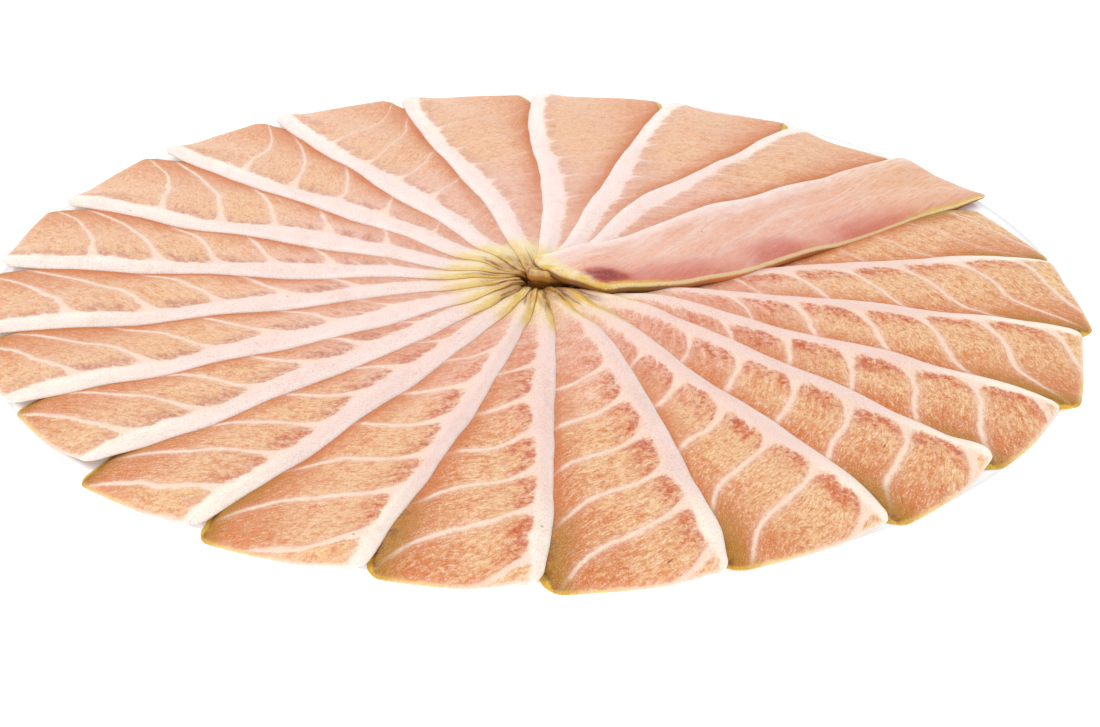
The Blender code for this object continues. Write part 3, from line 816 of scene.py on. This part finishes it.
def dark_lobes(flesh, lay, colours):
    """Flesh with the dark granular lobes where its segments end at the fat band."""
    along, pale = lay.along, lay.pale
    bundle = noise(lay.segment * SEGMENT_LENGTH * 0.46, lay.inward * 0.20, lay.seed + 31.0, 1.5)
    bead = spots(lay, 0.95, 0.80, 33.0, 2.0, 0.6)
    way = ragged(ragged(lay.depth, bundle, -9.0), lay.patch, 3.0) + pale * 1.6
    lobes = step(lay.flesh, 0.05, 0.7) * step(way, 7.6, 1.4) * (1.0 - lay.straw_end * 0.9)
    lobes = lobes * step(along, 22.0, 58.0)
    strength = step(bead * 0.75 + bundle * 0.35, 0.44, 0.64) * (0.84 - pale * 0.34) + 0.18
    strength = strength * (lay.clear * 0.65 + 0.35)
    middle = step(abs(along - 72.0 - pale * 14.0), 30.0, 12.0)
    middle = middle * step(lay.mottle + pale * 0.16, 0.46, 0.62)
    dark = blend(middle, colours.red, colours.purple)
    return painted(
        flesh,
        (lobes * strength, blend(step(pale, 0.2, 0.6) * 0.8, dark, colours.plum)),
        (lobes * step(bead, 0.56, 0.66) * (1.0 - pale) * 0.35, colours.vein))


def with_fat(flesh, lay, colours):
    """Flesh with its fat band and membranes, and a warm brown line of painted shade where the slice
    that covers it touches it.
    """
    fat = painted(
        blend(step(lay.along + lay.mottle * 20.0, 96.0, 126.0), colours.fat, colours.cream_and_light),
        # painted light: whiter fat near the fat edge against the shade of its sinking edge, and on
        # the far slices, partly their own paler fat
        (lay.pale * 0.60 + step(lay.inward, 3.2, 0.6) * 0.38, colours.milk_and_light),
        (step(lay.into_flesh, -1.0, 1.4) * 0.85, colours.membrane),
        (step(lay.mottle * 0.5 + lay.grain * 0.5, 0.47, 0.66) * 0.30, colours.rose))
    contact_shade = step(ragged(lay.cover, lay.patch, 1.6), 2.4, 0.3) * step(lay.along, 40.0, 80.0)
    return painted(
        fat,
        (step(lay.flesh, -0.30, 0.70), flesh),
        (step(lay.flesh, 2.2, 0.5) * 0.16, colours.fat),
        (contact_shade * 0.75, colours.russet_and_shade))


def smoked_side(body, lay, colours):
    """The smoked side: olive at the nose, with a thin golden rim."""
    way = lay.to_smoked.sum("SMOOTH_MIN", lay.cover + lay.pale * 5.0 + 1.0, 2.0)
    way = ragged(way, lay.patch, 3.0) + (lay.grain - 0.5)
    side_rim = step(ragged(lay.to_smoked, lay.patch, 1.2) - lay.pale * 0.8, 1.5, 0.7)
    end_rim = step(lay.to_smoked, 22.0, 10.0) * step(lay.to_rim + lay.patch, 1.9, 1.0) * 0.6
    rim = (side_rim * step(lay.along, 84.0, 100.0)).sum("MAXIMUM", end_rim)
    return painted(
        body,
        (step(way + lay.pale * 3.6, 8.4, 2.4) * lay.nose * 0.86, colours.olive),
        (step(way, 3.6, 1.0) * lay.nose * step(lay.patch, 0.40, 0.6) * 0.6, colours.bark_and_shade),
        (rim * 0.85, colours.gold))


def inner_tips(body, lay, colours):
    """The tips: a pale yellow rise, then brown-yellow and gold, with folds that run to the end,
    painted with brown shade in their hollows and pale highlights on their peaks.
    """
    way = ragged(lay.from_tip, lay.mottle, 9.0)
    crease_light_and_shade = noise(lay.inward * 0.9, lay.along * 0.08, lay.seed + 23.0, 3.0, 0.6)
    inner = step(way, 17.0, 8.0)
    edge = step(ragged(lay.inward, lay.patch, 2.0), 2.8, 0.8) * step(way, 26.0, 16.0)
    return painted(
        body,
        (step(way, 25.0, 16.0) * (lay.pale * 0.55 + 0.30), colours.ridge_and_highlight),
        (edge * (0.85 - lay.pale * 0.4), colours.gold),
        (step(way, 13.0, 7.0) * 0.62, colours.honey_and_shade),
        (inner * step(crease_light_and_shade, 0.50, 0.58) * 0.75, colours.gold),
        # painted highlight on the fold peaks
        (inner * step(crease_light_and_shade, 0.60, 0.68) * 0.75, colours.ridge_and_highlight),
        # painted shade in the folds
        (inner * step(crease_light_and_shade, 0.46, 0.36) * 0.65, colours.bark_and_shade))


def top_face(lay, colours):
    """The top slice: soft pink flesh with red tongues and a deep flush at its near edge."""
    along, inward, to_smoked = lay.along, lay.inward, lay.to_smoked
    mottle, patch = lay.mottle, lay.patch
    tongue = noise(inward * 0.22 + along * 0.055, along * 0.028, lay.seed + 60.0, 3.0, 0.55)
    tone = tongue * 0.7 + lay.streak * 0.4 + patch * 0.2
    tongues = step(abs(along - 54.0), 13.0, 4.0) * 0.9 + step(abs(along - 90.0), 20.0, 8.0)
    tongues = tongues + step(abs(along - 20.0), 22.0, 10.0) * 0.8
    red = step(ragged(to_smoked, tongue, 20.0), 13.0, 1.0) * (tongues * 0.42 + 0.34)
    spot_x, spot_y = (along - 7.0) * 0.24, (to_smoked - 4.0) * 0.38
    spot = ragged(spot_x * spot_x + spot_y * spot_y, patch, 1.4)
    band = ragged(inward, mottle, 6.0)
    side = ragged(to_smoked, patch, 2.0) + (lay.grain - 0.5)
    golden = step(along, 26.0, 12.0).sum("MAXIMUM", lay.nose)
    end = ragged(lay.from_tip, patch, 4.0)
    return painted(
        blend(step(tone, 0.50, 0.82), colours.blush, colours.pink),
        (step(lay.fine_streak * 0.6 + lay.grain * 0.4, 0.46, 0.62) * 0.45, colours.rose),
        (step(tone, 0.66, 0.54) * 0.6, colours.fat),
        (step(tongue, 0.50, 0.62) * step(patch, 0.4, 0.6) * 0.4, colours.salmon),
        (red, colours.flush),
        (step(spot, 3.4, 0.6) * 0.70, colours.flush),
        (step(spot, 1.9, 0.1) * 0.80, colours.vein),
        (step(band, 10.0, 5.5) * 0.75, colours.fat),
        (step(band, 6.4, 2.6) * 0.6, colours.milk_and_light),
        (step(along + mottle * 24.0, 92.0, 134.0) * 0.4, colours.tan),
        (step(along, 70.0, 110.0) * step(lay.streak, 0.52, 0.62) * 0.4, colours.salmon),
        (step(side, 1.6, 0.7) * golden * 0.75, colours.gold),
        (step(to_smoked, 0.7, 0.3) * 0.75, colours.ridge_and_highlight),
        # pale yellow at the inner end and its fat side: partly the tip's own colour, partly painted
        # wet highlight on the cut end
        (step(end + (along + inward) * 0.20, 9.0, 5.0) * 0.80, colours.ridge_and_highlight),
        (step(end, 2.6, 1.0) * step(mottle, 0.44, 0.56) * 0.85, colours.gold))


def specks(body, lay, colours):
    """Short dark red veins in few places, rare dark specks, and a fine grain of painted shade and
    highlight.
    """
    vein, tone = cells(lay.segment * SEGMENT_LENGTH * 0.55, lay.inward * 0.16, lay.seed + 40.0)
    vein = step(vein, 0.16, 0.08) * step(tone, 0.955, 0.96) * step(lay.flesh, 0.5, 1.5)
    dot, dot_tone = cells(lay.along * 0.20, lay.inward * 0.20, lay.seed + 46.0)
    return painted(
        body,
        (vein * step(lay.along, 70.0, 80.0) * (1.0 - lay.pale) * 0.8, colours.vein),
        (step(dot, 0.07, 0.04) * step(dot_tone, 0.84, 0.85) * 0.6, colours.bark_and_shade),
        # painted fine shade and highlight, from the same noise that gives the bump
        (step(lay.dust, 0.54, 0.68) * 0.22, colours.bark_and_shade),
        (step(lay.dust, 0.46, 0.32) * 0.14, colours.milk_and_light))


def cut_faces_and_shade(body, lay, colours, upper):
    """Cut faces and under sides, browner round the hub: partly the smoked side's own brown, partly
    painted shade, darkest low down near the tips.
    """
    way, top = lay.from_tip, lay.top
    shade = painted(
        blend(top * 0.6, colours.honey_and_shade, colours.bark_and_shade),
        (step(way, 10.0, 30.0), colours.russet_and_shade),
        # painted shade: the top slice's wall darker, where the front light reaches it
        (top * step(way, 30.0, 70.0) * 0.55, colours.bark_and_shade))
    near_hub = step(way, 36.0, 14.0).sum("MAXIMUM", top)
    return painted(
        body,
        (step(upper, 0.96, 0.60) * near_hub * 0.90, shade),
        # painted shade: dark brown on the lowest under sides near the tips
        (step(upper, 0.40, 0.02) * step(way, 30.0, 12.0) * 0.60, colours.bark_and_shade))


# ---------------------------------------------------------------- finishes

def new_material(name):
    """An empty node material and its shader."""
    material = bpy.data.materials.new(name)
    material.use_nodes = True
    return material, material.node_tree, material.node_tree.nodes["Principled BSDF"]


def add_bump(tree, shader, height, strength, distance):
    """Fine relief of a finish."""
    bump = tree.nodes.new("ShaderNodeBump")
    bump.inputs["Strength"].default_value = strength
    bump.inputs["Distance"].default_value = distance
    feed(tree, bump.inputs["Height"], height)
    feed(tree, shader.inputs["Normal"], Wire(tree, bump.outputs["Normal"]))


def fish_group(colours):
    """Colour, moisture and height of the cut flesh, from the stored distances."""
    tree = bpy.data.node_groups.new("smoked_flesh", "ShaderNodeTree")
    side = tree.interface
    for label in DISTANCES:
        side.new_socket(label.capitalize(), in_out="INPUT", socket_type="NodeSocketVector")
    side.new_socket("Upper", in_out="INPUT", socket_type="NodeSocketFloat")
    side.new_socket("Color", in_out="OUTPUT", socket_type="NodeSocketColor")
    for label in ("Roughness", "Coat", "Height"):
        side.new_socket(label, in_out="OUTPUT", socket_type="NodeSocketFloat")
    given = tree.nodes.new("NodeGroupInput")
    done = tree.nodes.new("NodeGroupOutput")
    lay = flesh_layout(*(Wire(tree, given.outputs[k]) for k in range(len(DISTANCES))))
    add_textures(lay)
    flesh = dark_lobes(plain_flesh(lay, colours), lay, colours)
    body = with_fat(flesh, lay, colours)
    body = smoked_side(body, lay, colours)
    body = inner_tips(body, lay, colours)
    body = blend(lay.top, body, top_face(lay, colours))
    body = specks(body, lay, colours)
    body = cut_faces_and_shade(body, lay, colours, Wire(tree, given.outputs["Upper"]))
    wet = spots(lay, 0.07, 0.09, 50.0)
    glint = spots(lay, 0.55, 0.55, 52.0)
    moist = step(lay.from_tip + lay.top * 7.0, 20.0, 8.0) * step(glint, 0.50, 0.66)
    feed(tree, done.inputs["Color"], body)
    feed(tree, done.inputs["Roughness"], lay.grain * 0.16 + 0.44 - wet * 0.10 - moist * 0.20)
    feed(tree, done.inputs["Coat"], step(wet, 0.50, 0.80) * 0.10 + moist * 0.8)
    height = lay.grain * 0.45 + fibres(lay, 2.6) * 0.4 + lay.dust * 0.15
    feed(tree, done.inputs["Height"], height)
    return tree


def fish_material(colours):
    """Moist smoked flesh."""
    material, tree, shader = new_material("smoked_fish")
    node = tree.nodes.new("ShaderNodeGroup")
    node.node_tree = fish_group(colours)

    def attribute(label, output):
        source = tree.nodes.new("ShaderNodeAttribute")
        source.attribute_name = label
        return Wire(tree, source.outputs[output])

    for slot, label in zip(node.inputs, DISTANCES):
        feed(tree, slot, attribute(label, "Vector"))
    feed(tree, node.inputs["Upper"], attribute("upper", "Fac"))
    for output, slot in (("Color", "Base Color"), ("Roughness", "Roughness"),
                         ("Coat", "Coat Weight")):
        tree.links.new(node.outputs[output], shader.inputs[slot])
    add_bump(tree, shader, Wire(tree, node.outputs["Height"]), 0.60, 0.0004)
    shader.inputs["Coat Roughness"].default_value = 0.18
    shader.inputs["Specular IOR Level"].default_value = 0.15
    shader.inputs["Subsurface Weight"].default_value = 0.25
    shader.inputs["Subsurface Radius"].default_value = (1.0, 0.5, 0.3)
    shader.inputs["Subsurface Scale"].default_value = 0.0012
    return material


def glaze_material(plate, colours):
    """White gloss glaze with a faint unevenness, painted brown shade in the pit under the inner
    tips, and painted light: it glows faintly all over.
    """
    material, tree, shader = new_material("white_glaze")
    coordinates = tree.nodes.new("ShaderNodeTexCoord")
    x, y, z = split(Wire(tree, coordinates.outputs["Object"]))
    cloud = noise(x * CLOUDS, y * CLOUDS, z * CLOUDS, 3.0)
    tone = blend(step(cloud, 0.3, 0.8) * 0.06, plate.glaze, plate.cloud)
    across, back = x - TIP_CENTRE[0], y - TIP_CENTRE[1]
    away = (across * across + back * back).sum("SQRT")
    # painted shade: the glaze is tinted brown in the dark pit under the tips
    pit_shade = step(away, PIT_SHADE_OUTER, PIT_SHADE_INNER) * step(z, *PIT_SHADE_HEIGHT)
    tone = blend(pit_shade, tone, colours.honey_and_shade)
    feed(tree, shader.inputs["Base Color"], tone)
    # painted light: the glaze glows faintly in its own colour
    feed(tree, shader.inputs["Emission Color"], tone)
    shader.inputs["Emission Strength"].default_value = plate.painted_glow
    feed(tree, shader.inputs["Roughness"], 0.10 + cloud * 0.08)
    add_bump(tree, shader, cloud, 0.06, 0.0005)
    shader.inputs["Coat Weight"].default_value = 0.5
    return material


def show(name, mesh, node):
    """Put a finished mesh in the scene in place of a frame node."""
    piece = bpy.data.objects.new(name, mesh)
    bpy.context.scene.collection.objects.link(piece)
    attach(piece, "root")
    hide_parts(node)
    return piece


# ---------------------------------------------------------------- operators

class CARPACCIO_OT_plate(bpy.types.Operator):
    """Turn the white plate from its profile"""

    bl_idname = "carpaccio.plate"
    bl_label = "Plate"

    def execute(self, context):
        plate = context.scene.carpaccio_plate
        lip, top = plate.lip_thickness, plate.lip_top
        slope = np.linspace(WELL_RADIUS, plate.radius - LIP_START * lip, SLOPE_STEPS)
        profile = [(0.0, WELL_TOP)]
        profile += [(float(r), float(plate_top(r, plate))) for r in slope]
        turn = np.radians(np.linspace(LIP_TURN_DEG, -LIP_TURN_DEG, LIP_STEPS))
        centre = plate.radius - 0.5 * lip
        profile += [(centre + 0.5 * lip * math.cos(a), top - 0.5 * lip + 0.5 * lip * math.sin(a))
                    for a in turn]
        profile += [
            (plate.foot_radius + plate.foot_height, plate.foot_height),
            (plate.foot_radius, plate.base_bevel),
            (plate.foot_radius - plate.base_bevel, 0.0),
            (0.0, 0.0),
        ]
        mesh = bpy.data.meshes.new("white_plate")
        mesh.from_pydata([(r, 0.0, z) for r, z in profile],
                         [(k, k + 1) for k in range(len(profile) - 1)], [])
        blank = bpy.data.objects.new("plate_profile", mesh)
        context.scene.collection.objects.link(blank)
        turned = blank.modifiers.new("turned", "SCREW")
        turned.axis = "Z"
        turned.steps = turned.render_steps = plate.sides
        turned.use_merge_vertices = True
        turned.merge_threshold = 0.00001
        turned.use_smooth_shade = True
        ready = bpy.data.meshes.new_from_object(
            blank.evaluated_get(context.evaluated_depsgraph_get()))
        bpy.data.objects.remove(blank)
        body = bmesh.new()
        body.from_mesh(ready)
        bmesh.ops.recalc_face_normals(body, faces=body.faces[:])
        body.to_mesh(ready)
        body.free()
        ready.materials.clear()
        ready.materials.append(glaze_material(plate, context.scene.carpaccio_colours))
        show("white_plate", ready, "plate")
        return {"FINISHED"}


class CARPACCIO_OT_slices(bpy.types.Operator):
    """Lay the rosette of fish slices"""

    bl_idname = "carpaccio.slices"
    bl_label = "Fish slices"

    def execute(self, context):
        scene = context.scene
        sizes = scene.carpaccio_slices
        shapes = [SliceShape(k, scene.carpaccio_plate, sizes) for k in range(SLICE_COUNT)]
        outlines = [shape.outline() for shape in shapes]
        flesh = fish_material(scene.carpaccio_colours)
        relief = relief_tree()
        for shape in shapes:
            blank = bpy.data.objects.new("slice_blank", base_mesh(shape, outlines))
            scene.collection.objects.link(blank)
            modifier = blank.modifiers.new("relief", "NODES")
            modifier.node_group = relief
            for label, setting in RELIEF.items():
                set_input(modifier, label, getattr(sizes, setting))
            set_input(modifier, "Material", flesh)
            ready = bpy.data.meshes.new_from_object(
                blank.evaluated_get(context.evaluated_depsgraph_get()))
            bpy.data.objects.remove(blank)
            name = f"fish_slice_{shape.index:02d}"
            show(name, ready, f"slice_{shape.index:02d}")
        return {"FINISHED"}


class CARPACCIO_OT_stage(bpy.types.Operator):
    """Set the pale floor, the soft light and the camera"""

    bl_idname = "carpaccio.stage"
    bl_label = "Stage"

    def execute(self, context):
        scene = context.scene
        stage = scene.carpaccio_stage
        half = stage.floor_size / 2.0
        mesh = bpy.data.meshes.new("floor")
        mesh.from_pydata([(-half, -half, 0), (half, -half, 0), (half, half, 0), (-half, half, 0)],
                         [], [(0, 1, 2, 3)])
        floor = bpy.data.objects.new("floor", mesh)
        material, _, shader = new_material("pale_floor")
        shader.inputs["Base Color"].default_value = (*stage.floor, 1.0)
        shader.inputs["Roughness"].default_value = 0.9
        shader.inputs["Specular IOR Level"].default_value = 0.1
        shader.inputs["Emission Color"].default_value = (*stage.floor, 1.0)
        shader.inputs["Emission Strength"].default_value = stage.floor_glow
        mesh.materials.append(material)
        scene.collection.objects.link(floor)
        world = bpy.data.worlds.new("soft_sky")
        world.use_nodes = True
        sky = world.node_tree.nodes["Background"]
        sky.inputs["Color"].default_value = (1.0, 1.0, 1.0, 1.0)
        sky.inputs["Strength"].default_value = stage.sky
        scene.world = world
        for name, place, size, power in LAMPS:
            self.lamp(scene, name, place, size, getattr(stage, power))
        camera = bpy.data.cameras.new("camera")
        camera.lens = stage.focal_length
        camera.sensor_width = 36.0
        eye = bpy.data.objects.new("camera", camera)
        scene.collection.objects.link(eye)
        eye.matrix_world = (
            Matrix.Translation((stage.side, -stage.distance,
                                stage.height + scene.carpaccio_plate.lip_top))
            @ Matrix.Rotation(math.radians(90.0) - stage.tilt, 4, "X")
            @ Matrix.Rotation(stage.roll, 4, "Z"))
        scene.camera = eye
        scene.view_settings.view_transform = "Standard"
        return {"FINISHED"}

    @staticmethod
    def lamp(scene, name, place, size, power):
        """A large soft lamp that faces the plate."""
        light = bpy.data.lights.new(name, "AREA")
        light.shape = "DISK"
        light.size = size
        light.energy = power
        lamp = bpy.data.objects.new(name, light)
        lamp.location = place
        aim = -lamp.location
        lamp.rotation_mode = "QUATERNION"
        lamp.rotation_quaternion = aim.to_track_quat("-Z", "Y")
        scene.collection.objects.link(lamp)


class CARPACCIO_PT_panel(bpy.types.Panel):
    """Buttons and settings for the carpaccio plate"""

    bl_idname = "CARPACCIO_PT_panel"
    bl_label = "Carpaccio Plate"
    bl_space_type = "VIEW_3D"
    bl_region_type = "UI"
    bl_category = "Carpaccio"

    def draw(self, context):
        layout = self.layout
        for operator in OPERATORS:
            layout.operator(operator.bl_idname)
        for label in SETTINGS:
            box = layout.box()
            group = getattr(context.scene, label)
            for name in group.bl_rna.properties.keys():
                if name not in ("rna_type", "name"):
                    box.prop(group, name)


SETTINGS = {
    "carpaccio_plate": PlateSettings,
    "carpaccio_slices": SliceSettings,
    "carpaccio_colours": FishColours,
    "carpaccio_stage": StageSettings,
}
OPERATORS = (CARPACCIO_OT_plate, CARPACCIO_OT_slices, CARPACCIO_OT_stage)
CLASSES = (*SETTINGS.values(), *OPERATORS, CARPACCIO_PT_panel)


def register():
    for item in CLASSES:
        bpy.utils.register_class(item)
    for label, group in SETTINGS.items():
        setattr(bpy.types.Scene, label, PointerProperty(type=group))


def unregister():
    for label in SETTINGS:
        delattr(bpy.types.Scene, label)
    for item in reversed(CLASSES):
        bpy.utils.unregister_class(item)


def main():
    """Build the pieces and the stage."""
    register()
    bpy.ops.carpaccio.plate()
    bpy.ops.carpaccio.slices()
    bpy.ops.carpaccio.stage()


if __name__ == "__main__":
    main()
